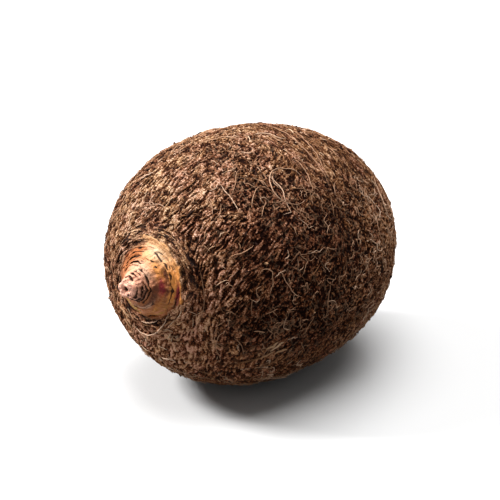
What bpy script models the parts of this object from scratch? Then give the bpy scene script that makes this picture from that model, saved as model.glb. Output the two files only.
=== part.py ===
"""A whole taro root: one barrel-shaped corm with a stepped bud at its crown, lying on its belly.

The root is one solid. It is turned about its long axis from a single outline, which runs from the tip
of the bud to the scar at the tail. Its skin is then swelled and sunk a little, as anything that grew in
soil is, the crown is lifted a few degrees, and the belly is pared level where the root rests.
Metres, +Z up, the crown facing -Y.
"""

import math

import bmesh
import bpy
from mathutils import Matrix, Vector

# The corm, measured along its long axis from the widest girth.
GIRTH_RADIUS = 0.0555
CROWN_LENGTH = 0.0666
TAIL_LENGTH = 0.0759
CROWN_BLUNTNESS = 2.63  # 2 would be an ellipse, and more is squarer in the shoulder
TAIL_BLUNTNESS = 2.04

# Each leaf that fell left a low ring, and the rings crowd together toward the crown.
SCAR_RINGS = 9
SCAR_RING_HEIGHT = 0.00022
SCAR_CROWDING = 0.8

# The scar where the corm came away from its parent is a shallow dish in the tail.
TAIL_SCAR_RADIUS = 0.0105
TAIL_SCAR_DEPTH = 0.0012

# The bud is a stack of leaf bases, each a cone with its rim standing a little proud of the one above.
# Each pair is the radius of a rim, and how high it sits above the lowest rim.
LEAF_RIMS = ((0.0040, 0.0158), (0.0056, 0.0143), (0.0078, 0.0121), (0.0150, 0.0040), (0.0205, 0.0))
RIM_LEDGE = 0.0005
RIM_STAND = 0.0007  # how far the lowest rim stands above the corm
TIP_DOME_HEIGHT = 0.0014

# How unevenly it grew.
LUMP_SIZE = 0.050
LUMP_HEIGHT = 0.0018

# How it lies.
CROWN_LIFT = math.radians(6.2)
BELLY_PARED = 0.0014  # taken off the belly, which leaves the flat that it rests on

CORM_ROWS = 44
TURN_STEPS = 52
MERGE_DISTANCE = 0.00001
SHARP_ANGLE = math.radians(50)


def clear_scene():
    for obj in list(bpy.data.objects):
        bpy.data.objects.remove(obj)


def new_collection(name):
    collection = bpy.data.collections.new(name)
    bpy.context.scene.collection.children.link(collection)
    return collection


def bark_material():
    material = bpy.data.materials.new("taro_bark")
    material.use_nodes = True
    shader = material.node_tree.nodes["Principled BSDF"]
    shader.inputs["Base Color"].default_value = (0.16, 0.085, 0.045, 1.0)
    shader.inputs["Roughness"].default_value = 0.85
    shader.inputs["Metallic"].default_value = 0.0
    return material


def corm_point(angle):
    """(radius, height) of the bare corm, from angle 0 at the crown's pole to pi at the tail's."""
    along = math.cos(angle)
    length, bluntness = (CROWN_LENGTH, CROWN_BLUNTNESS) if along > 0 else (TAIL_LENGTH, TAIL_BLUNTNESS)
    radius = GIRTH_RADIUS * math.sqrt(max(0.0, 1.0 - abs(along) ** bluntness))
    return radius, length * along


def bud_foot_angle():
    """The angle at which the bare corm is as wide as the bud's lowest rim."""
    foot_radius = LEAF_RIMS[-1][0]
    along = (1.0 - (foot_radius / GIRTH_RADIUS) ** 2) ** (1.0 / CROWN_BLUNTNESS)
    return math.acos(along)


def bud_outline(foot):
    """The bud's outline from the middle of its tip down to its lowest rim, just over height foot."""
    tip_radius, tip_rise = LEAF_RIMS[0]
    base = foot + RIM_STAND
    points = [(0.0, base + tip_rise + TIP_DOME_HEIGHT)]
    points.append((0.6 * tip_radius, base + tip_rise + 0.75 * TIP_DOME_HEIGHT))
    above = None
    for radius, rise in LEAF_RIMS:
        if above:
            # Each leaf base starts a ledge inside the rim above it and widens down to its own rim.
            points.append((above[0] - 0.4 * RIM_LEDGE, base + above[1] - RIM_LEDGE))
            points.append((0.5 * (above[0] + radius), base + 0.5 * (above[1] + rise) + 0.5 * RIM_LEDGE))
        points.append((radius, base + rise))
        above = (radius, rise)
    points.append((above[0] + 0.3 * RIM_LEDGE, base - 0.5 * RIM_STAND))
    return points


def corm_outline(start):
    """The corm's outline from the bud's foot to the tail, with its leaf rings and its tail scar."""
    points = []
    for row in range(CORM_ROWS + 1):
        done = row / CORM_ROWS
        angle = start + (math.pi - start) * done
        radius, height = corm_point(angle)
        rings_passed = SCAR_RINGS * done ** SCAR_CROWDING
        ring = SCAR_RING_HEIGHT * math.sin(2.0 * math.pi * rings_passed) * math.sin(angle)
        dish = 0.0
        if height < 0.0 and radius < TAIL_SCAR_RADIUS:
            dish = TAIL_SCAR_DEPTH * (1.0 - (radius / TAIL_SCAR_RADIUS) ** 2)
        points.append((radius + ring * math.sin(angle), height + ring * math.cos(angle) + dish))
    points[-1] = (0.0, points[-1][1])
    return points


def turned_root(collection, material):
    """The root standing on its tail, turned from one outline about its own +Z."""
    start = bud_foot_angle()
    outline = bud_outline(corm_point(start)[1]) + corm_outline(start)
    mesh = bpy.data.meshes.new("taro_root")
    edges = [(i, i + 1) for i in range(len(outline) - 1)]
    mesh.from_pydata([(radius, 0.0, height) for radius, height in outline], edges, [])
    root = bpy.data.objects.new("taro_root", mesh)
    root.data.materials.append(material)
    collection.objects.link(root)

    turn = root.modifiers.new("turn about the long axis", "SCREW")
    turn.steps = TURN_STEPS
    turn.render_steps = TURN_STEPS
    turn.use_merge_vertices = True
    turn.merge_threshold = MERGE_DISTANCE
    return root


def grow_unevenly(root):
    """Swells and sinks the skin by a soft cloud pattern, so that no two sides are alike."""
    pattern = bpy.data.textures.new("growth", "CLOUDS")
    pattern.noise_scale = LUMP_SIZE
    pattern.noise_depth = 0
    lumps = root.modifiers.new("uneven growth", "DISPLACE")
    lumps.texture = pattern
    lumps.texture_coords = "LOCAL"
    lumps.direction = "NORMAL"
    lumps.strength = LUMP_HEIGHT
    lumps.mid_level = 0.5


def lay_down(root):
    """Lays the root on its belly, crown to -Y and a little raised, with its box centred over the origin."""
    root.rotation_euler = (math.pi / 2 - CROWN_LIFT, 0.0, 0.0)
    bpy.context.view_layer.update()
    shape = root.evaluated_get(bpy.context.evaluated_depsgraph_get())
    points = [shape.matrix_world @ vertex.co for vertex in shape.data.vertices]
    low = Vector(map(min, zip(*points)))
    high = Vector(map(max, zip(*points)))
    middle = (low + high) / 2
    root.location = (-middle.x, -middle.y, -low.z - BELLY_PARED)


def pare_belly(root, collection):
    """Cuts the belly level at z = 0, which gives the root its resting flat."""
    mesh = bpy.data.meshes.new("table_cutter")
    shape = bmesh.new()
    side = 4 * TAIL_LENGTH
    depth = TAIL_LENGTH
    bmesh.ops.create_cube(shape, size=1.0, matrix=Matrix.Diagonal((side, side, depth, 1.0)))
    shape.to_mesh(mesh)
    shape.free()
    cutter = bpy.data.objects.new("table_cutter", mesh)
    cutter.location.z = -depth / 2
    cutter.hide_render = True
    cutter.display_type = "WIRE"
    collection.objects.link(cutter)

    pare = root.modifiers.new("resting flat", "BOOLEAN")
    pare.operation = "DIFFERENCE"
    pare.object = cutter


def main():
    clear_scene()
    root_parts = new_collection("taro_root")
    cutters = new_collection("cutters")
    root = turned_root(root_parts, bark_material())
    grow_unevenly(root)
    lay_down(root)
    pare_belly(root, cutters)
    root.data.shade_smooth()
    root.data.set_sharp_from_angle(angle=SHARP_ANGLE)


main()
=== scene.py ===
import itertools
import math

import bpy
import numpy as np
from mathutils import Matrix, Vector
from mathutils.bvhtree import BVHTree


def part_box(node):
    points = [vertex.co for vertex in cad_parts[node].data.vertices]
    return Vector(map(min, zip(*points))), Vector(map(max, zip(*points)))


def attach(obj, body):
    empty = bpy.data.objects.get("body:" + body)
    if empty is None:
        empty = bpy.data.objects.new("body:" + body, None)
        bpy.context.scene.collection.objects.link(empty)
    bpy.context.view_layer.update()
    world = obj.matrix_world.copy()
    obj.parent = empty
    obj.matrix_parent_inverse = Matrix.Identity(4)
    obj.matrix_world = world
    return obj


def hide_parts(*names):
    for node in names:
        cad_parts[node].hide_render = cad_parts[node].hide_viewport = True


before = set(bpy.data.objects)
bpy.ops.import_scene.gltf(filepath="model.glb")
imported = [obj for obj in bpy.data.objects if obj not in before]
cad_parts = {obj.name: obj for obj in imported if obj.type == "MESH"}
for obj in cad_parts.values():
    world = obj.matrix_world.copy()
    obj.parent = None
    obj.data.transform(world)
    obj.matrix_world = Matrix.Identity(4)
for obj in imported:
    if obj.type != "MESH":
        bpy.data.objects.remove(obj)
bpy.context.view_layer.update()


# The corm. A taro root is the swollen foot of the plant's own stem, one solid barrel of starchy flesh
# that grew in soil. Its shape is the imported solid's, read as the distance from the middle of its girth
# out to the skin and softened until no facet is left. Lengths here and below are in millimetres.
MM = 0.001
CROWN_LIFT = math.radians(6.2)
TAIL_LENGTH = 75.9
CROWNWARD = np.array((0.0, -math.cos(CROWN_LIFT), math.sin(CROWN_LIFT)))
SIDEWARD = np.array((1.0, 0.0, 0.0))
SKYWARD = np.array((0.0, math.sin(CROWN_LIFT), math.cos(CROWN_LIFT)))
RAY_ROWS = 240
RAY_COLUMNS = 256
SOFTENING_PASSES = 14

box_high = np.array(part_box("taro_root")[1]) / MM
girth_centre = np.array((0.0, box_high[1] - TAIL_LENGTH * math.cos(CROWN_LIFT), 0.5 * box_high[2]))


def outward(polar, turn):
    """Unit vectors leaning by polar from the crown's axis, turned about it from the belly toward +X."""
    spoke = np.sin(turn)[..., None] * SIDEWARD - np.cos(turn)[..., None] * SKYWARD
    return np.cos(polar)[..., None] * CROWNWARD + np.sin(polar)[..., None] * spoke


def measured_reach():
    """How far the skin lies from the girth's centre, for each row of polar and each column of turn."""
    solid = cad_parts["taro_root"].data
    corners = [vertex.co / MM for vertex in solid.vertices]
    tree = BVHTree.FromPolygons(corners, [tuple(face.vertices) for face in solid.polygons])
    polar = np.linspace(0.0, math.pi, RAY_ROWS + 1)
    turn = np.arange(RAY_COLUMNS) * (2 * math.pi / RAY_COLUMNS)
    ways = outward(*np.meshgrid(polar, turn, indexing="ij")).reshape(-1, 3)
    start = Vector(girth_centre)
    reach = np.array([tree.ray_cast(start, Vector(way))[3] for way in ways])
    reach = reach.reshape(RAY_ROWS + 1, RAY_COLUMNS)
    for _ in range(SOFTENING_PASSES):
        reach = 0.5 * reach + 0.25 * (np.roll(reach, 1, 1) + np.roll(reach, -1, 1))
        tall = np.pad(reach, ((1, 1), (0, 0)), "edge")
        reach = 0.5 * reach + 0.25 * (tall[:-2] + tall[2:])
    reach[0] = reach[0].mean()
    reach[-1] = reach[-1].mean()
    return reach


reach_table = measured_reach()
polar_table = np.linspace(0.0, math.pi, RAY_ROWS + 1)
mean_reach = reach_table.mean(1)
profile_steps = np.hypot(
    np.diff(mean_reach * np.cos(polar_table)), np.diff(mean_reach * np.sin(polar_table))
)
arc_table = np.concatenate(([0.0], np.cumsum(profile_steps)))


def reach_at(polar, turn):
    row = np.clip(polar / math.pi * RAY_ROWS, 0.0, RAY_ROWS - 0.0001)
    column = (turn / (2 * math.pi)) % 1.0 * RAY_COLUMNS
    i, j = row.astype(int), column.astype(int) % RAY_COLUMNS
    down, along = row - i, column - np.floor(column)
    k = (j + 1) % RAY_COLUMNS
    upper = (1 - along) * reach_table[i, j] + along * reach_table[i, k]
    lower = (1 - along) * reach_table[i + 1, j] + along * reach_table[i + 1, k]
    return (1 - down) * upper + down * lower


def on_corm(polar, turn):
    """Points on the bare corm."""
    return girth_centre + reach_at(polar, turn)[..., None] * outward(polar, turn)


def smooth_corm(polar, turn):
    """Points on the bare corm, and its outward normals there."""
    step = 0.006
    tailward = on_corm(polar + step, turn) - on_corm(polar - step, turn)
    around = on_corm(polar, turn + step) - on_corm(polar, turn - step)
    normal = np.cross(tailward, around)
    size = np.linalg.norm(normal, axis=-1, keepdims=True)
    straight = outward(polar, turn)
    normal = np.where(size > 1e-5, normal / np.maximum(size, 1e-5), straight)
    return on_corm(polar, turn), normal


def moved(polar, turn, heading, distance):
    """Where a short walk over the corm ends. Heading 0 runs tailward, and a quarter turn round it."""
    per_radian = np.interp(polar, polar_table, np.gradient(arc_table, polar_table))
    girth = np.maximum(reach_at(polar, turn) * np.sin(polar), 3.0)
    return polar + distance * np.cos(heading) / per_radian, turn + distance * np.sin(heading) / girth


# The growth pattern. Leaves sheathed the stem one above the next, and each that rotted away left a ring:
# a low shingled edge, close together near the crown and wider apart over the girth. Between the rings
# the skin is a crust of ridges and pits, in lanes that slant over the girth or in a jumble.
FIRST_RING = 22.0
RING_COUNT = 14
RING_HEIGHT = 0.45
RING_GAPS = 6.0 + 8.5 * np.sin(np.linspace(0.0, math.pi, RING_COUNT))
RING_ARCS = FIRST_RING + np.concatenate(([0.0], np.cumsum(RING_GAPS)))
RING_WANDER = 1.8
CRUST_HEIGHT = 0.30
SKIN_SINK = 0.70
SKIN_CLEARANCE = 0.05  # over the table
LATTICE = 32


def cloud(points, size, seed):
    """Smooth random values between -1 and 1 at each point, about size apart from crest to crest."""
    values = np.random.default_rng(seed).uniform(-1.0, 1.0, (LATTICE, LATTICE, LATTICE))
    place = points / size + 100.0
    cell = np.floor(place).astype(int)
    part = place - cell
    part = part * part * (3.0 - 2.0 * part)
    total = np.zeros(points.shape[:-1])
    for corner in itertools.product((0, 1), repeat=3):
        weight = np.prod(np.where(corner, part, 1.0 - part), axis=-1)
        index = (cell + np.array(corner)) % LATTICE
        total += weight * values[index[..., 0], index[..., 1], index[..., 2]]
    return total


def swing(turn, middle):
    """How far a turn is from the middle one, whichever way round is shorter."""
    return np.abs((turn - middle + math.pi) % (2 * math.pi) - math.pi)


def patch(polar, turn, row, tall, middle, wide):
    """1 at a place on the skin, fading out over a height in polar and a width in turn."""
    return np.exp(-(((polar - row) / tall) ** 2 + (swing(turn, middle) / wide) ** 2))


def rings_passed(polar, points):
    """How many leaf rings lie between here and the crown, counted in parts of a ring."""
    arc = np.interp(polar, polar_table, arc_table) + RING_WANDER * cloud(points, 14.0, 3)
    return np.interp(arc, RING_ARCS, np.arange(RING_COUNT + 1.0))


def ring_strength(points):
    return np.clip(0.40 + 1.0 * cloud(points, 22.0, 4), 0.0, 1.0)


def grain_heading(polar, turn, points):
    """Which way the crust and the fibre run: round the bud, and slantwise over the girth."""
    turn = turn % (2 * math.pi)
    tailward = np.clip((polar - 0.80) / 0.50, 0.0, 1.0) * np.exp(-((swing(turn, 2.6) / 1.2) ** 4))
    slant = 2.70 - turn + tailward * (turn - 2.34)
    away = np.clip((polar - 0.33) / 0.12, 0.0, 1.0) * np.clip((1.55 - polar) / 0.30, 0.0, 1.0)
    along = 0.5 * np.angle(away * np.exp(2j * slant) + away - 1.0)
    return along + 0.40 * cloud(points, 13.0, 14) + 0.22 * cloud(points, 5.0, 15)


def worn(polar, turn):
    """1 high on the far side, where the skin is worn down smoother, and 0 elsewhere."""
    return np.clip((polar - 1.15) / 0.30, 0.0, 1.0) * np.exp(-((swing(turn, 2.8) / 0.75) ** 2))


def lanes(polar, turn, points):
    """1 where the crust is drawn out into lanes, and 0 where it is a jumble."""
    away = np.clip((polar - 0.42) / 0.70, 0.0, 1.0)
    jumbled = away * (0.70 - 0.30 * np.cos(turn - 3.5) + 0.9 * cloud(points, 24.0, 11))
    return np.clip(1.05 - jumbled + 0.45 * worn(polar, turn), 0.0, 1.0)


def drawn_out(polar, turn, heading, size, length, seed):
    """Smooth random values about size apart, drawn out to a length along a heading."""
    total = 0.0
    for part in np.linspace(-0.5, 0.5, 7):
        total = total + cloud(on_corm(*moved(polar, turn, heading, part * length)), size, seed)
    return total / 7.0


def crust(polar, turn, points):
    """The ridges and pits of the skin, from about -1 in a pit to 1 on a ridge."""
    heading = grain_heading(polar, turn, points)
    drawn = 1.6 * drawn_out(polar, turn, heading, 0.64, 1.8, 5)
    drawn = drawn + 0.50 * drawn_out(polar, turn, heading, 1.4, 2.4, 8)
    jumble = 1.0 * cloud(points, 0.68, 9) + 0.24 * cloud(points, 1.8, 10)
    share = lanes(polar, turn, points)
    height = 2.6 * (1.0 - 0.40 * worn(polar, turn))
    return height * (share * drawn + (1.0 - share) * jumble) / np.hypot(share, 1.0 - share)


def relief(polar, points, rough):
    """How far the bark stands above the smooth corm, where its crust is this rough."""
    part = rings_passed(polar, points) % 1.0
    shingle = np.where(part < 0.9, (part / 0.9) ** 2, (1.0 - part) / 0.1) - 0.35
    rings = RING_HEIGHT * ring_strength(points) * shingle
    bumps = 0.34 * cloud(points, 9.0, 6) + 0.26 * cloud(points, 4.0, 7)
    return rings + bumps + CRUST_HEIGHT * np.clip(rough, -1.5, 0.9) - SKIN_SINK


def bark_surface(polar, turn, above=0.0, rough=0.0):
    """Points at a height above the bark, and the normals of the corm beneath them."""
    points, normals = smooth_corm(polar, turn)
    height = relief(polar, points, rough) + above
    points = points + height[..., None] * normals
    points[..., 2] = np.maximum(points[..., 2], SKIN_CLEARANCE)
    return points, normals


def paleness(polar, turn, points):
    """How pale the skin and its fibre are, from 0 at the darkest to 1 at the palest, painted shade
    included.
    """
    patches = 0.34 * cloud(points, 24.0, 12) + 0.20 * cloud(points, 8.0, 13)
    # The damp middle patch is darker in its own colour, and darker still with a painted cast shadow.
    damp = patch(polar, turn, 1.18, 0.56, 1.72, 0.76)
    stains_and_shadow = 1.6 * patch(polar, turn, 0.96, 0.17, 2.54, 0.32)
    # This band just outside the collar on its right is painted shadow under the collar's raised lip; the
    # other two are dark stains.
    stains_and_shadow = stains_and_shadow + 1.3 * patch(polar, turn, 0.36, 0.04, 1.95, 0.55)
    stains_and_shadow = stains_and_shadow + 1.4 * patch(polar, turn, 0.50, 0.06, 2.75, 0.16)
    # Lighter patches of skin.
    lightened = 1.8 * patch(polar, turn, 0.52, 0.22, 3.50, 0.70)
    lightened = lightened + 1.9 * patch(polar, turn, 0.46, 0.26, 0.30, 0.90)
    lightened = lightened + 0.7 * patch(polar, turn, 0.52, 0.11, 2.15, 0.60)
    lightened = lightened + 1.3 * patch(polar, turn, 0.95, 0.08, 1.08, 0.10)
    # Darker toward the belly: painted shade on the underside.
    underside_shade = np.clip(np.cos(turn) + 0.2, 0.0, 1.0) * np.clip((polar - 0.4) / 0.8, 0.0, 1.0)
    top = np.exp(-((swing(turn, 3.3) / 0.5) ** 2)) * np.clip(polar - 0.8, 0.0, 0.5)
    left = np.exp(-((swing(turn, 4.4) / 0.6) ** 2))
    far = patch(polar, turn, 1.75, 0.35, 2.55, 0.45)
    shade = 0.61 + patches - 0.84 * damp - 0.22 * underside_shade - 0.34 * top - 0.16 * left + 0.15 * far
    return np.clip(shade - 0.30 * stains_and_shadow + 0.20 * lightened, 0.0, 1.3)


# The bark. The corm wears a thin crust of cork and matted sheath, tan in its paler patches, umber where
# it is damp and under a painted shadow, and almost black in the pits, where painted shade darkens it. It
# runs from just under the bud's lowest leaf base round to the tail, in six sheets that share their
# edges.
BARK_ROWS = 104
BARK_COLUMNS = 950
BARK_NAMES = ("bark_crown", "bark_brow", "bark_shoulder", "bark_girth", "bark_hip", "bark_tail")
BARK_EDGES = (0.30, 0.74, 1.16, 1.62, 2.08, 2.54, math.pi)

BARK_SHADES = [
    (0.00, (0.009, 0.0020, 0.0005)),
    (0.20, (0.034, 0.0085, 0.0020)),
    (0.42, (0.115, 0.043, 0.016)),
    (0.62, (0.255, 0.122, 0.055)),
    (0.82, (0.465, 0.266, 0.148)),
    (1.00, (0.760, 0.545, 0.370)),
]

# Tints laid over those shades: two in patches, and one that deepens toward the belly.
PURPLE = (1.00, 0.91, 1.02)
OLIVE = (1.00, 0.975, 0.88)
RUSSET = (1.06, 0.84, 0.74)

# The fine net of flattened rootlets that is stuck to the skin.
ROOTLET_TAN = (0.380, 0.220, 0.130)


class Wire:
    """A value in a finish, so that the maths between values reads as plain sums."""

    def __init__(self, socket):
        self.socket = socket

    def joined(self, operation, first, second):
        tree = self.socket.id_data
        node = tree.nodes.new("ShaderNodeMath")
        node.operation = operation
        for value, entry in zip((first, second), node.inputs):
            if isinstance(value, Wire):
                tree.links.new(value.socket, entry)
            else:
                entry.default_value = value
        return Wire(node.outputs[0])

    def __add__(self, other):
        return self.joined("ADD", self, other)

    def __radd__(self, other):
        return self.joined("ADD", other, self)

    def __sub__(self, other):
        return self.joined("SUBTRACT", self, other)

    def __rsub__(self, other):
        return self.joined("SUBTRACT", other, self)

    def __mul__(self, other):
        return self.joined("MULTIPLY", self, other)

    def __rmul__(self, other):
        return self.joined("MULTIPLY", other, self)


class Finish:
    """A material in the making. Its even values go straight on the shader, by their own names."""

    def __init__(self, name, even):
        self.material = bpy.data.materials.new(name)
        self.material.use_nodes = True
        self.tree = self.material.node_tree
        self.shader = self.tree.nodes["Principled BSDF"]
        self.feed(self.shader, even)

    def feed(self, node, sockets):
        for name, value in sockets.items():
            entry = node.inputs[name]
            if isinstance(value, Wire):
                self.tree.links.new(value.socket, entry)
            elif entry.type == "RGBA":
                entry.default_value = (*value, 1.0)
            else:
                entry.default_value = value

    def node(self, kind, settings, sockets, output=0):
        made = self.tree.nodes.new(kind)
        for name, value in settings.items():
            if name == "stops":
                ramp = made.color_ramp.elements
                while len(ramp) < len(value):
                    ramp.new(0.5)
                for element, (position, colour) in zip(ramp, value):
                    element.position = position
                    element.color = (*colour, 1.0)
            else:
                setattr(made, name, value)
        self.feed(made, sockets)
        return Wire(made.outputs[output])

    def here(self):
        """Where a point is on the piece, in metres."""
        return self.node("ShaderNodeTexCoord", {}, {}, "Object")

    def field(self, name):
        """A number that the mesh carries at each of its points."""
        return self.node("ShaderNodeAttribute", {"attribute_name": name}, {}, "Fac")

    def grain(self, size, detail):
        """Fine noise from 0 to 1, about size millimetres from crest to crest."""
        scale = 1.0 / (size * MM)
        sockets = {"Vector": self.here(), "Scale": scale, "Detail": detail, "Roughness": 0.6}
        return self.node("ShaderNodeTexNoise", {}, sockets)

    def between(self, value, low, high):
        """0 below low and 1 above high, and an even slope between them."""
        sockets = {"Value": value, "From Min": low, "From Max": high}
        return self.node("ShaderNodeMapRange", {}, sockets)

    def blend(self, amount, under, over, way="MIX"):
        """The colour over laid on the colour under by amount."""
        settings = {"data_type": "RGBA", "blend_type": way}
        return self.node("ShaderNodeMix", settings, {0: amount, 6: under, 7: over}, 2)

    def raised(self, height, depth):
        """The normal of a surface that height raises by up to depth millimetres."""
        sockets = {"Height": height, "Distance": depth * MM, "Strength": 1.0}
        return self.node("ShaderNodeBump", {}, sockets)


def make_piece(name, points, faces, corner_uv, finish, fields):
    """A smooth mesh from points in millimetres, with a place on the bake sheet for each corner."""
    mesh = bpy.data.meshes.new(name)
    mesh.from_pydata(points * MM, [], faces)
    sheet = mesh.uv_layers.new(name="OFBake")
    sheet.data.foreach_set("uv", corner_uv.astype(np.float32).ravel())
    for field, values in fields.items():
        kind, entry = ("FLOAT_VECTOR", "vector") if values.ndim == 2 else ("FLOAT", "value")
        held = mesh.attributes.new(field, kind, "POINT")
        held.data.foreach_set(entry, values.astype(np.float32).ravel())
    mesh.materials.append(finish.material)
    mesh.shade_smooth()
    piece = bpy.data.objects.new(name, mesh)
    bpy.context.scene.collection.objects.link(piece)
    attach(piece, "root")
    return piece


def wrapped_grid(rows, columns):
    """Quads of a sheet that is closed round its columns, and where each of their corners lies on it."""
    row, column = np.meshgrid(np.arange(rows), np.arange(columns), indexing="ij")
    corners = [(row, column), (row + 1, column), (row + 1, column + 1), (row, column + 1)]
    faces = [r * columns + c % columns for r, c in corners]
    places = [np.stack((c / columns, r / rows), axis=-1) for r, c in corners]
    return np.stack(faces, axis=-1).reshape(-1, 4), np.stack(places, axis=-2).reshape(-1, 2)


def bark_shading(finish):
    """The bark's colour and its fine height, laid out in a finish."""
    lane = finish.field("lane")
    rough = finish.field("crust")
    fine = finish.between(finish.grain(0.62, 3.0), 0.37, 0.63)
    flecks = finish.between(finish.grain(0.70, 2.0), 0.58, 0.66)
    # The crust's height and the fine grain darken the pits and lighten the ridges: painted shade in the
    # pits and painted highlight on the ridges, over the skin's own mottling. The flecks are pale bits of
    # fibre and painted glints.
    shade = 0.62 * finish.field("pale") + 0.34 * rough + 0.32 * (finish.grain(5.0, 3.0) - 0.5)
    shade = shade + 0.52 * (fine - 0.5) + 0.33 * flecks + 0.22 * finish.field("edge")
    colour = finish.node("ShaderNodeValToRGB", {"stops": BARK_SHADES}, {"Fac": shade + 0.04})

    patches = finish.grain(9.0, 5.0) + 0.10 * finish.field("damp")
    colour = finish.blend(finish.between(patches, 0.44, 0.60), colour, PURPLE, "MULTIPLY")
    colour = finish.blend(finish.between(patches, 0.48, 0.32), colour, OLIVE, "MULTIPLY")
    colour = finish.blend(finish.field("warm"), colour, RUSSET, "MULTIPLY")

    ripple = {"Vector": finish.here(), "Scale": 260.0, "Detail": 2.0}
    bent = finish.node("ShaderNodeTexNoise", {}, ripple, "Color")
    shift = {0: bent, 1: (3.5 * MM, 3.5 * MM, 3.5 * MM), 2: finish.here()}
    place = finish.node("ShaderNodeVectorMath", {"operation": "MULTIPLY_ADD"}, shift)
    cells = {"Vector": place, "Scale": 1 / (4.2 * MM)}
    gap = finish.node("ShaderNodeTexVoronoi", {"feature": "DISTANCE_TO_EDGE"}, cells, "Distance")
    line = finish.between(gap, 0.070, 0.035) * finish.between(finish.grain(6.0, 2.0), 0.46, 0.52)
    line = line * (1.0 - 0.75 * lane)
    colour = finish.blend(0.50 * line, colour, ROOTLET_TAN)

    return colour, 0.38 * fine + 0.05 * rough + 0.10 * line + 0.08 * flecks


def bark_finish():
    finish = Finish("taro bark", {"Roughness": 0.8, "Specular IOR Level": 0.06})
    colour, height = bark_shading(finish)
    finish.feed(finish.shader, {"Base Color": colour, "Normal": finish.raised(height, 1.2)})
    return finish


def bark_fields(polar, turn, points, rough):
    """What the bark finish reads at each point."""
    part = rings_passed(polar, points) % 1.0
    return {
        "crust": np.clip(rough, -1.2, 1.1),
        # Where the purple tint gathers, over the damp and shadowed middle of the skin.
        "damp": 1.6 * patch(polar, turn, 0.85, 0.45, 2.2, 0.70) - 0.3,
        "lane": lanes(polar, turn, points),
        "pale": paleness(polar, turn, points),
        "warm": np.clip(0.70 + 0.50 * np.cos(turn), 0.0, 1.0),
        "edge": np.exp(-(((part - 0.90) / 0.04) ** 2)) * ring_strength(points),
    }


def make_bark(name, start, end, finish):
    polar = np.linspace(start, end, BARK_ROWS + 1)
    turn = np.arange(BARK_COLUMNS) * (2 * math.pi / BARK_COLUMNS)
    polar, turn = (grid.ravel() for grid in np.meshgrid(polar, turn, indexing="ij"))
    base, _ = smooth_corm(polar, turn)
    rough = crust(polar, turn, base)
    points, _ = bark_surface(polar, turn, 0.0, rough)
    faces, corner_uv = wrapped_grid(BARK_ROWS, BARK_COLUMNS)
    return make_piece(name, points, faces, corner_uv, finish, bark_fields(polar, turn, base, rough))


cork = bark_finish()
bark_sheets = [
    make_bark(name, start, end, cork)
    for name, start, end in zip(BARK_NAMES, BARK_EDGES, BARK_EDGES[1:])
]
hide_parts("taro_root")


# The bud. At the crown the newest leaf bases still wrap the growing point: a broad collar, torn open on
# one side down to cream flesh, a smooth waxy cone inside it, and a knot of tight little rims round a
# blunt pink tip. Where it has dried the collar is as brown and crusty as the bark.
BUD_ROWS = 300
BUD_COLUMNS = 320
BUD_EDGE = 24.0
COLLAR_RADIUS = 20.6
CROWN_LENGTH = 66.6
GIRTH_RADIUS = 55.5
CROWN_BLUNTNESS = 2.63

# The bud's outline, as radius and height over the collar's plane.
BUD_OUTLINE = (
    (0.0, 15.4), (0.9, 15.9), (2.0, 16.3), (3.0, 16.2), (3.7, 15.4), (4.1, 14.0), (4.6, 13.2),
    (5.1, 12.3), (5.9, 11.4), (6.7, 10.0), (9.0, 7.9), (11.5, 5.6), (12.9, 3.9), (14.0, 2.7),
    (14.8, 1.8), (17.2, 1.1), (20.6, 0.3), (22.0, -0.8), (27.0, -3.0),
)

# Each leaf base's rim: its radius, how deep the gap under it is, and the middle and half of the stretch
# of turn, in degrees, over which it still stands.
LEAF_RIMS = (
    (4.0, 1.6, 60, 400),
    (5.2, 1.3, 75, 125),
    (6.1, 1.2, 90, 100),
    (7.0, 1.0, 95, 85),
    (9.0, 1.2, 216, 50),
    (11.2, 0.9, 228, 46),
    (12.8, 0.7, 214, 30),
    (14.6, 0.9, 228, 44),
    (9.6, 0.5, 20, 45),
    (10.4, 0.8, 316, 44),
    (11.6, 0.7, 322, 48),
    (13.0, 0.9, 312, 40),
    (13.4, 0.7, 116, 60),
    (14.3, 1.0, 325, 70),
    (15.6, 0.9, 84, 30),
    (16.9, 0.8, 232, 44),
    (17.2, 0.6, 10, 44),
)

# The gap under a rim: its width, and how many times as wide it is, for rims of growing radius.
GAP_WIDTH = 0.62
GAP_WIDENING = ((5.0, 1.4), (6.0, 1.0), (12.0, 1.0), (14.0, 0.7))

# How far the nub at the tip leans, and the stretch of turn over which the collar is torn open.
NUB_TILT = 0.22
TORN_MIDDLE = math.radians(138)
TORN_HALF = math.radians(68)


def bud_places(radius, turn):
    """Flat places across the bud, and longer ones whose pattern runs round it as its wrinkles do."""
    flat = np.stack((radius * np.cos(turn), radius * np.sin(turn), 0 * radius), axis=-1)
    round_it = np.stack((radius, 2.2 * np.cos(turn), 2.2 * np.sin(turn)), axis=-1)
    return flat, round_it


def torn_edge(turn):
    """How far out the collar is torn: furthest on top."""
    return 18.1 + 1.7 * np.exp(-((swing(turn, math.radians(185)) / 0.6) ** 2))


def torn_share(radius, turn):
    """1 where the collar is torn down to the flesh, and 0 where its dry skin is whole."""
    flat, _ = bud_places(radius, turn)
    ragged = cloud(flat, 3.4, 27) + 0.6 * cloud(flat, 1.2, 28)
    along = (TORN_HALF - swing(turn, TORN_MIDDLE)) / 0.25 + 0.9 * ragged
    across = (torn_edge(turn) + 0.8 * ragged - radius) / 0.35
    return np.clip(np.minimum(along, across), 0.0, 1.0)


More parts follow.
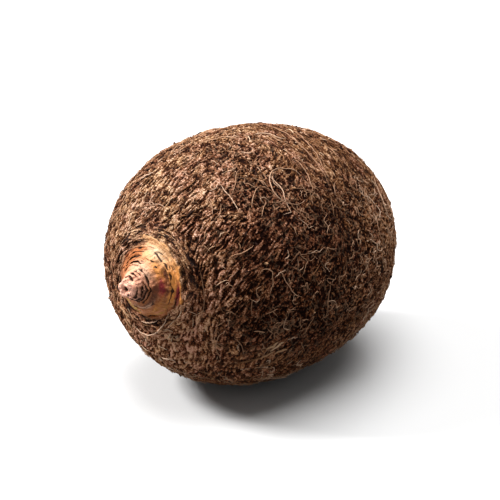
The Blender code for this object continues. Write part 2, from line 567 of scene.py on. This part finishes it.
def bud_rise(radius, turn):
    """Height of the bud over the collar's plane, and how deep in a gap between leaf bases it is."""
    flat, round_it = bud_places(radius, turn)
    ragged = cloud(flat, 2.0, 31)
    wander = np.interp(radius, (6.4, 9.0, 14.3), (0.40, 0.50, 0.60))
    lobes = 0.30 * np.sin(5.0 * turn + 0.7) * np.exp(-(((radius - 3.6) / 1.2) ** 2))
    drift = wander * (cloud(flat, 4.0, 21) + 0.8 * cloud(flat, 1.3, 22)) + lobes
    warped = radius + drift * np.clip(radius / 2.0, 0.0, 1.0)
    height = np.interp(warped, *zip(*BUD_OUTLINE))
    gap = np.zeros_like(radius)
    for rim, depth, middle, half in LEAF_RIMS:
        left = math.radians(half) - swing(turn, math.radians(middle))
        broken = 1.7 * cloud(flat, 1.1, 32) if rim < 7.0 else 0.6 * ragged
        whole = np.clip(left / 0.35, 0.0, 1.0) * np.clip(0.95 + 1.1 * broken, 0.15, 1.0)
        past = warped - rim
        width = GAP_WIDTH * (1.0 + 0.7 * ragged) * np.interp(rim, *zip(*GAP_WIDENING))
        notch = whole * np.clip(past / 0.12, 0.0, 1.0) * np.clip(1.4 - 1.4 * past / width, 0.0, 1.0)
        gap = np.maximum(gap, notch * min(1.0, 1.6 * depth))
        lip = whole * np.exp(-(((past + 0.25) / 0.28) ** 2))
        height = height - depth * notch + 0.30 * depth * lip
    inward = torn_edge(turn) - radius
    torn = torn_share(radius, turn)
    height = height + 0.9 * torn * np.clip(1.0 - inward / 2.5, 0.0, 1.0)
    beside = np.clip((TORN_HALF - swing(turn, TORN_MIDDLE)) / 0.3, 0.0, 1.0)
    moat = np.exp(-(((inward + 1.0) / 0.7) ** 2)) * beside
    height = height - 0.7 * moat * (1.0 - torn)
    wrinkles = 0.34 * cloud(round_it, 0.9, 26) + 0.18 * cloud(round_it, 0.45, 29)
    fuzz = 0.10 * cloud(flat, 0.8, 23) + 0.30 * cloud(flat, 2.8, 24)
    dimple = 1.6 * np.exp(-((radius / 0.7) ** 2))
    knob = np.exp(-((radius / 3.8) ** 4)) * (0.8 * cloud(flat, 1.5, 25) - dimple)
    pits = np.clip(cloud(round_it, 0.42, 33) - 0.54, 0.0, 0.15) / 0.15
    pits = pits * np.clip((radius - 8.0) / 2.0, 0.0, 1.0) * (swing(turn, math.radians(180)) < 1.0)
    sidelong = radius * np.cos(turn - math.radians(65))
    height = height - NUB_TILT * sidelong * np.clip((4.5 - radius) / 0.8, 0.0, 1.0)
    hole = spot(radius, turn, 0.0, 0.9, 0, 4000) + spot(radius, turn, 2.7, 0.55, 40, 14)
    return height + wrinkles + fuzz + knob - 0.30 * pits, np.maximum(gap, np.maximum(0.7 * pits, hole))


def bud_along(radius, turn):
    """How far along the crown's axis the bud's surface is, and how deep in a gap."""
    height, gap = bud_rise(radius, turn)
    outer = np.maximum(np.minimum(radius, 40.0), COLLAR_RADIUS)
    plane = CROWN_LENGTH * (1.0 - (outer / GIRTH_RADIUS) ** 2) ** (1.0 / CROWN_BLUNTNESS)
    return plane + height, gap


def spot(radius, turn, at, width, middle, half):
    """1 at a place on the bud, fading out over a width in millimetres and a half of turn in degrees."""
    round_it = swing(turn, math.radians(middle)) / math.radians(half)
    return np.exp(-(((radius - at) / width) ** 2 + round_it ** 2))


def make_bud():
    radius = np.linspace(0.0, BUD_EDGE, BUD_ROWS + 1)
    turn = np.arange(BUD_COLUMNS) * (2 * math.pi / BUD_COLUMNS)
    radius, turn = (grid.ravel() for grid in np.meshgrid(radius, turn, indexing="ij"))
    along, gap = bud_along(radius, turn)
    polar = np.arctan2(radius, along)
    spoke = np.sin(turn)[:, None] * SIDEWARD - np.cos(turn)[:, None] * SKYWARD
    points = girth_centre + along[:, None] * CROWNWARD + radius[:, None] * spoke
    torn = torn_share(radius, turn)
    rough = crust(polar, turn, points)
    dry = np.clip((radius - 14.8) / 1.2, 0.0, 1.0) * (1.0 - torn)
    points = points + (0.30 * dry * np.clip(rough, -1.4, 0.9))[:, None] * CROWNWARD
    fields = {"gap": gap, "dry": dry, "tint": bud_tint(radius, turn, torn)}
    fields |= bark_fields(polar, turn, points, rough)
    faces, corner_uv = wrapped_grid(BUD_ROWS, BUD_COLUMNS)
    return make_piece("bud", points, faces, corner_uv, bud_finish(), fields)


CREAM = (0.660, 0.358, 0.170)
# A painted highlight on the cream.
CREAM_HIGHLIGHT = (0.800, 0.590, 0.380)
CREAM_ORANGE = (0.640, 0.250, 0.060)
PALE_PINK = (0.700, 0.390, 0.250)
PEACH = (0.640, 0.250, 0.120)
ORANGE = (0.360, 0.110, 0.028)
CONE_BROWN = (0.130, 0.038, 0.015)
TIP_PINK = (0.800, 0.380, 0.245)
NUB_PINK = (0.960, 0.510, 0.365)
RED_PURPLE = (0.230, 0.022, 0.026)
YELLOW_OLIVE = (0.480, 0.310, 0.070)
# Painted shade for the gaps between leaf bases.
GAP_SHADE = (0.030, 0.010, 0.005)


def bud_tint(radius, turn, torn):
    """The colour of the living flesh at each point of the bud, with painted highlights near its top and
    painted shade on its lower right.
    """
    flat, round_it = bud_places(radius, turn)
    mottle = 0.5 * cloud(round_it, 1.3, 41) + 0.4 * cloud(round_it, 0.6, 42) + 0.3 * cloud(flat, 0.8, 43)
    lower = 0.5 + 0.5 * np.cos(turn - math.radians(50))
    flank = np.exp(-((swing(turn, math.radians(82)) / 0.85) ** 2))
    crest = np.exp(-((swing(turn, math.radians(172)) / 0.85) ** 2))
    tint = np.broadcast_to(PEACH, (len(radius), 3))
    for colour, amount in (
        # Orange that deepens toward the lower right: the flesh's own colour and painted shade on the
        # side away from the lamps.
        (ORANGE, 1.2 * mottle + 1.2 * lower - 0.28),
        # A painted highlight, pale pink, high on the left of the cone.
        (PALE_PINK, (1.5 + mottle) * spot(radius, turn, 8.2, 2.2, 165, 46)),
        (CREAM, (radius - 10.6 + 1.2 * mottle) / 1.2 * np.clip(2.4 * crest - 0.7, 0.0, 1.0)),
        (CREAM_ORANGE, (1.2 + 2.0 * mottle) * spot(radius, turn, 11.4, 1.8, 128, 26)),
        (CREAM, torn * ((radius - 13.2) / 0.4 + 0.6 * mottle)),
        (CREAM_ORANGE, torn * (radius > 13.2) * (2.4 * flank + 1.1 * mottle - 0.02)),
        # A painted highlight on the cream at the top.
        (CREAM_HIGHLIGHT, (0.7 + 2.2 * mottle) * spot(radius, turn, 14.6, 1.8, 168, 26)),
        (ORANGE, (1.5 + 2.0 * mottle) * spot(radius, turn, 12.6, 4.0, 240, 44)),
        (CONE_BROWN, (0.5 + 2.4 * mottle) * spot(radius, turn, 15.4, 2.4, 236, 36)),
        (ORANGE, (0.3 + 2.4 * mottle) * spot(radius, turn, 13.4, 2.4, 208, 34)),
        (CREAM_ORANGE, (0.8 + 2.0 * mottle) * spot(radius, turn, 12.4, 1.2, 50, 36)),
        # Brown on the right of the cone: its own brown and painted shade.
        (CONE_BROWN, (1.5 + mottle) * spot(radius, turn, 8.9, 1.4, 88, 34)),
        (CONE_BROWN, (1.3 + 2.5 * mottle) * spot(radius, turn, 12.0, 2.4, 312, 34)),
        # A dark line on the right between the cone and the band below it: painted shade.
        (CONE_BROWN, (0.9 + 2.0 * mottle) * spot(radius, turn, 12.6, 0.8, 92, 44)),
        (CONE_BROWN, (1.1 + 2.0 * mottle) * spot(radius, turn, 9.0, 0.5, 30, 40)),
        (PALE_PINK, (1.1 + 2.0 * mottle) * spot(radius, turn, 9.7, 0.5, 10, 34)),
        (YELLOW_OLIVE, (1.6 + 2.5 * mottle) * spot(radius, turn, 12.8, 2.0, 326, 20)),
        (YELLOW_OLIVE, (0.8 + 2.0 * mottle) * spot(radius, turn, 13.6, 0.6, 40, 14)),
        (RED_PURPLE, (1.4 + 2.0 * mottle) * spot(radius, turn, 11.1, 0.8, 98, 18)),
        (RED_PURPLE, (1.2 + 2.0 * mottle) * spot(radius, turn, 16.0, 0.9, 84, 18)),
        (TIP_PINK, (6.9 - radius + 0.8 * mottle) / 0.8),
        (NUB_PINK, (4.2 - radius + 0.6 * mottle) / 0.6),
        (CONE_BROWN, (1.0 + 2.0 * mottle) * spot(radius, turn, 5.7, 1.0, 100, 70)),
    ):
        share = np.clip(amount, 0.0, 1.0)[:, None]
        tint = (1.0 - share) * tint + share * np.array(colour)
    return tint


def bud_finish():
    finish = Finish("bud", {"Specular IOR Level": 0.15})
    tint = finish.node("ShaderNodeAttribute", {"attribute_name": "tint"}, {}, "Vector")
    fine = finish.grain(0.75, 3.0)
    dry = finish.field("dry")
    bark, height = bark_shading(finish)
    colour = finish.blend(0.40 * finish.between(fine, 0.55, 0.66), tint, CONE_BROWN)
    colour = finish.blend(0.25 * finish.between(fine, 0.42, 0.32), colour, CREAM)
    colour = finish.blend(dry, colour, bark)
    # The gaps between leaf bases, the pits and the dimple at the tip are darkened by their depth:
    # painted shade in the recesses.
    gap = finish.between(finish.field("gap") + 0.4 * (fine - 0.5), 0.10, 0.45)
    colour = finish.blend(0.95 * gap, colour, GAP_SHADE)
    bumps = finish.raised(0.40 * fine * (1.0 - dry) + height * dry, 1.2)
    finish.feed(finish.shader, {"Base Color": colour, "Roughness": 0.45 + 0.35 * dry, "Normal": bumps})
    return finish


make_bud()


# The loose fibre. What is left of the old leaf sheaths is a litter of flat shreds and fine hairs that
# lies on the bark, mostly round the girth, and stands out a little at its ends. Each is a thin
# three-sided strand with pointed ends, walked over the surface one step at a time.
FIBRE_CLEARANCE = 0.02  # over the table


def skin_surface(polar, turn, above):
    """Points at a height above the bark or, under the collar's edge, above the bud."""
    points, normals = bark_surface(polar, turn, above)
    offset = points - girth_centre
    along = offset @ CROWNWARD
    radius = np.linalg.norm(offset - along[..., None] * CROWNWARD, axis=-1)
    bud_top, _ = bud_along(radius, turn)
    lift = bud_top + above - along
    lift = np.where(radius < COLLAR_RADIUS, lift, np.maximum(lift, 0.0))
    lift = np.where((radius < BUD_EDGE) & (along > 0.0), lift, 0.0)
    return points + lift[..., None] * CROWNWARD, normals


def sheet_cells(count):
    """The corner of each of count small squares on the bake sheet, and how much of it one may fill."""
    cells = math.ceil(math.sqrt(count))
    corner = np.stack((np.arange(count) % cells, np.arange(count) // cells), axis=-1) / cells
    return corner, 0.8 / cells


def strand_mesh(name, paths, normals, widths, depths, tones, finish, lean=0.0):
    """One piece of many strands. paths and normals are (strand, step, 3), the rest one per strand."""
    count, steps = paths.shape[:2]
    ahead = np.gradient(paths, axis=1)
    ahead /= np.maximum(np.linalg.norm(ahead, axis=-1, keepdims=True), 1e-6)
    across = np.cross(ahead, normals)
    across /= np.maximum(np.linalg.norm(across, axis=-1, keepdims=True), 1e-6)
    up = np.cross(across, ahead)
    done = np.linspace(-1.0, 1.0, steps)
    taper = (1.0 - 0.85 * np.abs(done) ** 3)[None, :, None]
    half = 0.5 * widths[:, None, None] * taper
    tall = depths[:, None, None] * taper
    section = (paths - half * across, paths + lean * half * across + tall * up, paths + half * across)
    points = np.stack(section, axis=2).reshape(-1, 3)
    points[:, 2] = np.maximum(points[:, 2], FIBRE_CLEARANCE)

    first = np.arange(count)[:, None, None] * (3 * steps)
    step = np.arange(steps - 1)[None, :, None] * 3
    side = np.arange(3)[None, None, :]
    near = first + step + side
    far = first + step + (side + 1) % 3
    walls = np.stack((near, far, far + 3, near + 3), axis=-1).reshape(-1, 4)
    start = first[:, 0] + np.array((0, 2, 1))
    end = first[:, 0] + 3 * (steps - 1) + np.array((0, 1, 2))
    faces = walls.tolist() + start.tolist() + end.tolist()

    corner_cell, inset = sheet_cells(count)
    run = np.arange(steps - 1) / (steps - 1)
    gain = 1.0 / (steps - 1)
    wall_uv = np.zeros((count, steps - 1, 3, 4, 2))
    sides = np.arange(3) / 3.0
    for corner, (on, over) in enumerate(((0, 0), (0, 1), (1, 1), (1, 0))):
        wall_uv[..., corner, 0] = (run[None, :, None] + on * gain) * inset
        wall_uv[..., corner, 1] = (sides[None, None, :] + over / 3.0) * inset
    wall_uv += corner_cell[:, None, None, None, :]
    cap = np.array(((0.0, 0.0), (0.05, 0.0), (0.0, 0.05))) * inset
    cap_uv = (corner_cell[:, None, :] + cap[None]).reshape(-1, 2)
    corner_uv = np.concatenate((wall_uv.reshape(-1, 2), cap_uv, cap_uv))

    fields = {"tone": np.repeat(tones, 3 * steps)}
    return make_piece(name, points, faces, corner_uv, finish, fields)


def walked(polar, turn, heading, length, bend, kinks, steps, seed, waver=0.10):
    """The polar, turn and heading at each strand's steps. A heading of 0 runs tailward, and a quarter
    turn runs round. kinks is how often a strand turns sharply, and waver how unevenly it bends."""
    chance = np.random.default_rng(seed)
    stride = length / (steps - 1)
    trail = [(polar, turn, heading)]
    for _ in range(steps - 1):
        polar, turn = moved(polar, turn, heading, stride)
        polar = np.clip(polar, 0.02, math.pi - 0.02)
        kinked = chance.uniform(size=polar.shape) < kinks
        sharp = np.where(kinked, chance.normal(0.0, 0.9, polar.shape), 0.0)
        heading = heading + bend + waver * chance.normal(size=polar.shape) + sharp
        trail.append((polar, turn, heading))
    return (np.stack(track, axis=1) for track in zip(*trail))


def scattered(count, low, high, seed):
    """Polar and turn of points spread evenly over the skin between two polar angles."""
    chance = np.random.default_rng(seed)
    area = np.gradient(arc_table) * mean_reach * np.sin(polar_table)
    area = np.where((polar_table > low) & (polar_table < high), area, 0.0)
    share = np.cumsum(area) / area.sum()
    polar = np.interp(chance.uniform(size=count), share, polar_table)
    return polar, chance.uniform(0.0, 2 * math.pi, count)


def fibre_finish(name, roughness, shades):
    finish = Finish(name, {"Roughness": roughness, "Specular IOR Level": 0.12})
    streaks = finish.grain(0.5, 2.0)
    shade = finish.field("tone") + 0.35 * (streaks - 0.5)
    colour = finish.node("ShaderNodeValToRGB", {"stops": shades}, {"Fac": shade})
    finish.feed(finish.shader, {"Base Color": colour, "Normal": finish.raised(streaks, 0.08)})
    return finish


def make_fibres(name, count, low, high, lengths, widths, flatness, stand, steps, tone, finish, seed):
    chance = np.random.default_rng(seed)
    polar, turn = scattered(count, low, high, seed + 1)
    points, _ = smooth_corm(polar, turn)
    length = chance.uniform(*lengths, count) * np.clip(chance.normal(1.0, 0.2, count), 0.5, 1.6)
    width = chance.uniform(*widths, count)
    stray = 0.25 + 0.9 * (1.0 - lanes(polar, turn, points))
    heading = grain_heading(polar, turn, points) + stray * chance.normal(size=count)
    bend = chance.normal(0.0, 0.35, count) * 4 / steps
    polars, turns, _ = walked(polar, turn, heading, length, bend, 0.12, steps, seed + 2)
    bare = torn_share(reach_at(polars, turns) * np.sin(polars), turns).max(axis=1) > 0.2
    done = np.linspace(0.0, 1.0, steps)
    arch = np.sin(math.pi * done)[None] * chance.uniform(0.0, stand, count)[:, None]
    tip = (done ** 3)[None] * np.clip(chance.normal(-0.2, 1.0, count), 0.0, 2.5)[:, None] * stand
    points, normals = skin_surface(polars, turns, arch + tip + 0.02 * length[:, None])
    shade = tone + 0.62 * paleness(polar, turn, points[:, 0]) + chance.normal(0.0, 0.17, count)
    kept = ~bare
    width, shade = width[kept], np.clip(shade[kept], 0.0, 1.0)
    return strand_mesh(name, points[kept], normals[kept], width, width * flatness, shade, finish, 0.5)


shred_finish = fibre_finish("bark shreds", 0.8, BARK_SHADES)
hair_finish = fibre_finish("bark hairs", 0.65, BARK_SHADES)
CROWN_EDGE = 0.235
TAIL_EDGE = math.pi - 0.03
GIRTH_SPLIT = math.radians(88)

SHREDS = {
    "count": 420, "lengths": (1.6, 4.5), "widths": (0.4, 1.1), "flatness": 0.4, "stand": 0.18,
    "steps": 5, "tone": 0.02, "finish": shred_finish,
}
HAIRS = {
    "count": 800, "lengths": (1.8, 6.0), "widths": (0.16, 0.30), "flatness": 0.9, "stand": 0.32,
    "steps": 7, "tone": 0.24, "finish": hair_finish,
}
FIBRE_REACHES = (("crown", CROWN_EDGE, GIRTH_SPLIT, 100), ("tail", GIRTH_SPLIT, TAIL_EDGE, 200))

for end, low, high, seed in FIBRE_REACHES:
    make_fibres("shreds_" + end, low=low, high=high, seed=seed, **SHREDS)
    make_fibres("hairs_" + end, low=low, high=high, seed=seed + 50, **HAIRS)


# The rootlets. Dry feeding roots are still on the bark, pale, wiry, kinked and forked, and a few of them
# are several centimetres long and loop back on themselves.
ROOTLET_SHADES = [
    (0.00, (0.030, 0.012, 0.006)),
    (0.40, (0.160, 0.074, 0.036)),
    (0.70, (0.400, 0.220, 0.128)),
    (1.00, (0.740, 0.510, 0.360)),
]


def make_rootlets(name, count, lengths, widths, bends, kinks, steps, tone, seed):
    chance = np.random.default_rng(seed)
    polar, turn = scattered(3 * count, 0.42, math.pi - 0.15, seed + 1)
    points, _ = smooth_corm(polar, turn)
    liked = chance.uniform(size=3 * count) < 0.15 + 0.85 * (1.0 - lanes(polar, turn, points))
    polar, turn = polar[liked][:count], turn[liked][:count]
    count = len(polar)
    length = chance.uniform(*lengths, count)
    heading = chance.uniform(0.0, 2 * math.pi, count)
    bend = chance.normal(0.0, bends, count)
    polars, turns, headings = walked(polar, turn, heading, length, bend, kinks, steps, seed + 2)
    fork = chance.integers(steps // 4, 3 * steps // 4, count)
    at = (np.arange(count), fork)
    side = np.where(chance.uniform(size=count) < 0.5, -1.0, 1.0) * chance.uniform(0.5, 1.1, count)
    astray = headings[at] + side
    branch = walked(polars[at], turns[at], astray, 0.5 * length, -bend, kinks, steps, seed + 3)
    more_polars, more_turns, _ = branch
    polars = np.concatenate((polars, more_polars))
    turns = np.concatenate((turns, more_turns))
    width = chance.uniform(*widths, count)
    width = np.concatenate((width, 0.75 * width))
    done = np.linspace(0.0, 1.0, steps)[None]
    total = len(width)
    pace = chance.uniform(4.0, 16.0, total)[:, None]
    wave = np.sin(done * pace + chance.uniform(0, 6, total)[:, None])
    above = 0.28 + 0.22 * wave + 0.5 * done ** 4 * chance.uniform(0.0, 1.6, total)[:, None]
    points, normals = skin_surface(polars, turns, above)
    shade = tone + 0.22 * paleness(polars[:, 0], turns[:, 0], points[:, 0])
    shade = np.clip(shade + chance.normal(0.0, 0.13, total), 0.15, 1.0)
    return strand_mesh(name, points, normals, width, 0.9 * width, shade, rootlet_finish)


rootlet_finish = fibre_finish("rootlets", 0.65, ROOTLET_SHADES)
make_rootlets("rootlets", 640, (3.0, 10.0), (0.26, 0.46), 0.05, 0.34, 14, 0.60, 300)
make_rootlets("long_rootlets", 50, (12.0, 26.0), (0.32, 0.48), 0.03, 0.16, 34, 0.64, 410)


# The strays. A few pieces are big enough to tell apart: dry edges of old leaf bases curved round the
# bud, a loop of rootlet up on the shoulder, long rootlets over the girth, and broad flakes low down.
# Each is its polar, turn and heading in degrees, its length, its whole bend, its width and its tone.
EDGES = (
    (73, 132, 205, 46, -300, 0.46, 0.78),
    (23.8, 333, 91, 33, 16, 0.55, 0.90),
    (16.0, 350, 96, 10, 8, 0.50, 0.86),
    (24.5, 58, 90, 26, 0, 0.36, 0.52),
    (28.0, 190, 90, 16, 0, 0.36, 0.52),
    (105, 172, 263, 34, -4, 0.40, 0.60),
    (100, 187, 260, 52, -10, 0.40, 0.58),
)
STRAYS = (
    (46, 158, 268, 15, 25, 0.50, 0.88),
    (46, 150, 350, 16, 15, 0.42, 0.66),
    (41, 149, 235, 8, -30, 0.42, 0.66),
    (49, 138, 35, 18, -75, 0.44, 0.68),
    (51, 132, 35, 8, 10, 0.42, 0.66),
    (44, 105, 45, 16, -60, 0.45, 0.70),
    (51, 105, 305, 18, 10, 0.42, 0.72),
    (44, 120, 215, 11, 25, 0.42, 0.66),
    (34, 68, 262, 20, 30, 0.42, 0.72),
    (70, 118, 80, 20, 60, 0.42, 0.64),
    (80, 152, 340, 18, -60, 0.42, 0.64),
    (60, 112, 330, 14, -60, 0.42, 0.62),
)
FLAKES = (
    (52, 61, 40, 6, 10, 1.5, 0.82),
    (54, 60, 50, 7, -15, 1.3, 0.86),
    (57, 58, 52, 6, 15, 1.5, 0.76),
    (52, 54, 52, 7, 10, 1.2, 0.76),
    (50, 50, 60, 8, -25, 1.3, 0.60),
    (58, 48, 63, 9, 5, 1.4, 0.54),
    (46, 47, 50, 7, 20, 1.2, 0.56),
    (62, 52, 55, 8, 10, 1.4, 0.50),
    (23, 312, 110, 8, 10, 1.8, 0.78),
    (26, 322, 100, 7, 10, 1.4, 0.70),
)


def make_strays(name, table, kinks, flatness, height, steps, finish, seed, waver):
    polar, turn, heading, length, bend, width, tone = np.array(table, dtype=float).T
    bend = np.radians(bend) / (steps - 1)
    start = (np.radians(polar), np.radians(turn), np.radians(heading))
    polars, turns, _ = walked(*start, length, bend, kinks, steps, seed, waver)
    wave = 0.15 * np.sin(np.arange(steps) * 1.3)[None] + height
    points, normals = skin_surface(polars, turns, wave)
    return strand_mesh(name, points, normals, width, flatness * width, tone, finish)


make_strays("edges", EDGES, 0.0, 0.9, 0.32, 36, rootlet_finish, 650, 0.04)
make_strays("strays", STRAYS, 0.03, 0.9, 0.36, 36, rootlet_finish, 600, 0.12)
make_strays("flakes", FLAKES, 0.0, 0.35, 0.60, 12, shred_finish, 700, 0.14)


# The root stubs. Where a feeding root broke off close to the skin it left a hard little nub.
STUB_SIDES = 7
STUB_RINGS = ((1.15, -0.5), (1.0, 0.25), (0.62, 0.85), (0.15, 1.0))


def make_stubs(name, count, seed):
    chance = np.random.default_rng(seed)
    polar, turn = scattered(count, 0.40, math.pi - 0.1, seed + 1)
    middle, normal = skin_surface(polar, turn, np.zeros(count))
    girthward = np.cross(normal, np.broadcast_to(CROWNWARD, normal.shape))
    girthward /= np.linalg.norm(girthward, axis=-1, keepdims=True)
    tailward = np.cross(normal, girthward)
    radius = chance.uniform(0.28, 0.62, count)
    tall = radius * chance.uniform(0.6, 2.2, count)
    lean = chance.normal(0.0, 0.5, (count, 2))
    around = np.arange(STUB_SIDES) * (2 * math.pi / STUB_SIDES)
    rings = []
    for wide, high in STUB_RINGS:
        reach = radius[:, None] * wide * (1.0 + 0.2 * chance.normal(size=(count, STUB_SIDES)))
        u = reach * np.cos(around) + lean[:, :1] * high * tall[:, None]
        v = reach * np.sin(around) + lean[:, 1:] * high * tall[:, None]
        spread = u[..., None] * girthward[:, None] + v[..., None] * tailward[:, None]
        rings.append(middle[:, None] + spread + (high * tall)[:, None, None] * normal[:, None])
    levels = len(STUB_RINGS)
    points = np.stack(rings, axis=1).reshape(-1, 3)
    points[:, 2] = np.maximum(points[:, 2], FIBRE_CLEARANCE)
    first = np.arange(count)[:, None, None] * (levels * STUB_SIDES)
    level = np.arange(levels - 1)[None, :, None] * STUB_SIDES
    side = np.arange(STUB_SIDES)[None, None, :]
    near, far = first + level + side, first + level + (side + 1) % STUB_SIDES
    walls = np.stack((near, far, far + STUB_SIDES, near + STUB_SIDES), axis=-1).reshape(-1, 4)
    last = first[:, :, 0] + (levels - 1) * STUB_SIDES
    faces = walls.tolist() + (last + np.arange(STUB_SIDES)).tolist()
    faces += (first[:, :, 0] + np.arange(STUB_SIDES)[::-1]).tolist()
    corner_cell, inset = sheet_cells(count)
    wall_uv = np.zeros((count, levels - 1, STUB_SIDES, 4, 2))
    for corner, (on, over) in enumerate(((0, 0), (1, 0), (1, 1), (0, 1))):
        wall_uv[..., corner, 0] = (np.arange(STUB_SIDES)[None, None, :] + on) / STUB_SIDES * inset
        wall_uv[..., corner, 1] = (np.arange(levels - 1)[None, :, None] + over) / levels * inset
    wall_uv += corner_cell[:, None, None, None, :]
    disc = 0.5 + 0.5 * np.stack((np.cos(around), np.sin(around)), axis=-1)
    cap_uv = (corner_cell[:, None, :] + inset * (0.1 * disc + (0.0, 0.9))[None]).reshape(-1, 2)
    corner_uv = np.concatenate((wall_uv.reshape(-1, 2), cap_uv, cap_uv))
    tone = 0.18 + 0.40 * paleness(polar, turn, middle) + chance.normal(0.0, 0.22, count)
    fields = {"tone": np.repeat(np.clip(tone, 0.05, 0.95), levels * STUB_SIDES)}
    return make_piece(name, points, faces, corner_uv, shred_finish, fields)


make_stubs("root_stubs", 520, 500)


# The studio. The root lies on a plain white sweep, lit softly from the left and above, and the camera
# looks down at it from in front of its right shoulder.
CAMERA_TURN = math.radians(40.06)
CAMERA_TILT = math.radians(23.2)
CAMERA_DISTANCE = 0.900
CAMERA_LENS = 150.0
FLOOR_SIDE = 6.0


def light_panel(name, place, target, side, power):
    lamp = bpy.data.lights.new(name, "AREA")
    lamp.shape = "SQUARE"
    lamp.size = side
    lamp.energy = power
    holder = bpy.data.objects.new(name, lamp)
    holder.location = place
    holder.rotation_euler = (Vector(place) - Vector(target)).to_track_quat("Z", "Y").to_euler()
    bpy.context.scene.collection.objects.link(holder)


def make_floor():
    finish = Finish("white sweep", {"Roughness": 0.9, "Base Color": (0.62, 0.62, 0.62)})
    dim = finish.node("ShaderNodeBsdfDiffuse", {}, {"Color": (0.25, 0.25, 0.25)})
    ray = finish.node("ShaderNodeLightPath", {}, {}, "Is Camera Ray")
    choice = finish.node("ShaderNodeMixShader", {}, {0: ray, 1: dim, 2: Wire(finish.shader.outputs[0])})
    finish.feed(finish.tree.nodes["Material Output"], {"Surface": choice})
    half = FLOOR_SIDE / 2
    corners = [(-half, -half, 0.0), (half, -half, 0.0), (half, half, 0.0), (-half, half, 0.0)]
    mesh = bpy.data.meshes.new("floor")
    mesh.from_pydata(corners, [], [(0, 1, 2, 3)])
    mesh.materials.append(finish.material)
    floor = bpy.data.objects.new("floor", mesh)
    bpy.context.scene.collection.objects.link(floor)


def make_world():
    """White to look at, and dimmer as a light, so that the panels shape the root."""
    world = bpy.data.worlds.new("studio")
    bpy.context.scene.world = world
    world.use_nodes = True
    tree = world.node_tree
    seen = tree.nodes["Background"]
    seen.inputs["Color"].default_value = (1.0, 1.0, 1.0, 1.0)
    seen.inputs["Strength"].default_value = 1.0
    dim = tree.nodes.new("ShaderNodeBackground")
    dim.inputs["Color"].default_value = (1.0, 1.0, 1.0, 1.0)
    dim.inputs["Strength"].default_value = 0.22
    ray = tree.nodes.new("ShaderNodeLightPath")
    choice = tree.nodes.new("ShaderNodeMixShader")
    tree.links.new(ray.outputs["Is Camera Ray"], choice.inputs[0])
    tree.links.new(dim.outputs[0], choice.inputs[1])
    tree.links.new(seen.outputs[0], choice.inputs[2])
    tree.links.new(choice.outputs[0], tree.nodes["World Output"].inputs["Surface"])


def make_camera():
    back = Vector((
        math.sin(CAMERA_TURN) * math.cos(CAMERA_TILT),
        -math.cos(CAMERA_TURN) * math.cos(CAMERA_TILT),
        math.sin(CAMERA_TILT),
    ))
    lens = bpy.data.cameras.new("camera")
    lens.lens = CAMERA_LENS
    lens.sensor_width = 36.0
    lens.clip_start = 0.05
    camera = bpy.data.objects.new("camera", lens)
    camera.location = Vector(girth_centre * MM) + back * CAMERA_DISTANCE
    camera.rotation_euler = back.to_track_quat("Z", "Y").to_euler()
    bpy.context.scene.collection.objects.link(camera)
    bpy.context.scene.camera = camera


make_floor()
make_world()
make_camera()
light_panel("key", (-0.90, -0.55, 0.95), (0.0, 0.0, 0.05), 0.4, 34.0)
light_panel("top", (0.05, 0.15, 1.40), (0.0, 0.0, 0.05), 1.2, 34.0)
bpy.context.scene.view_settings.view_transform = "Standard"
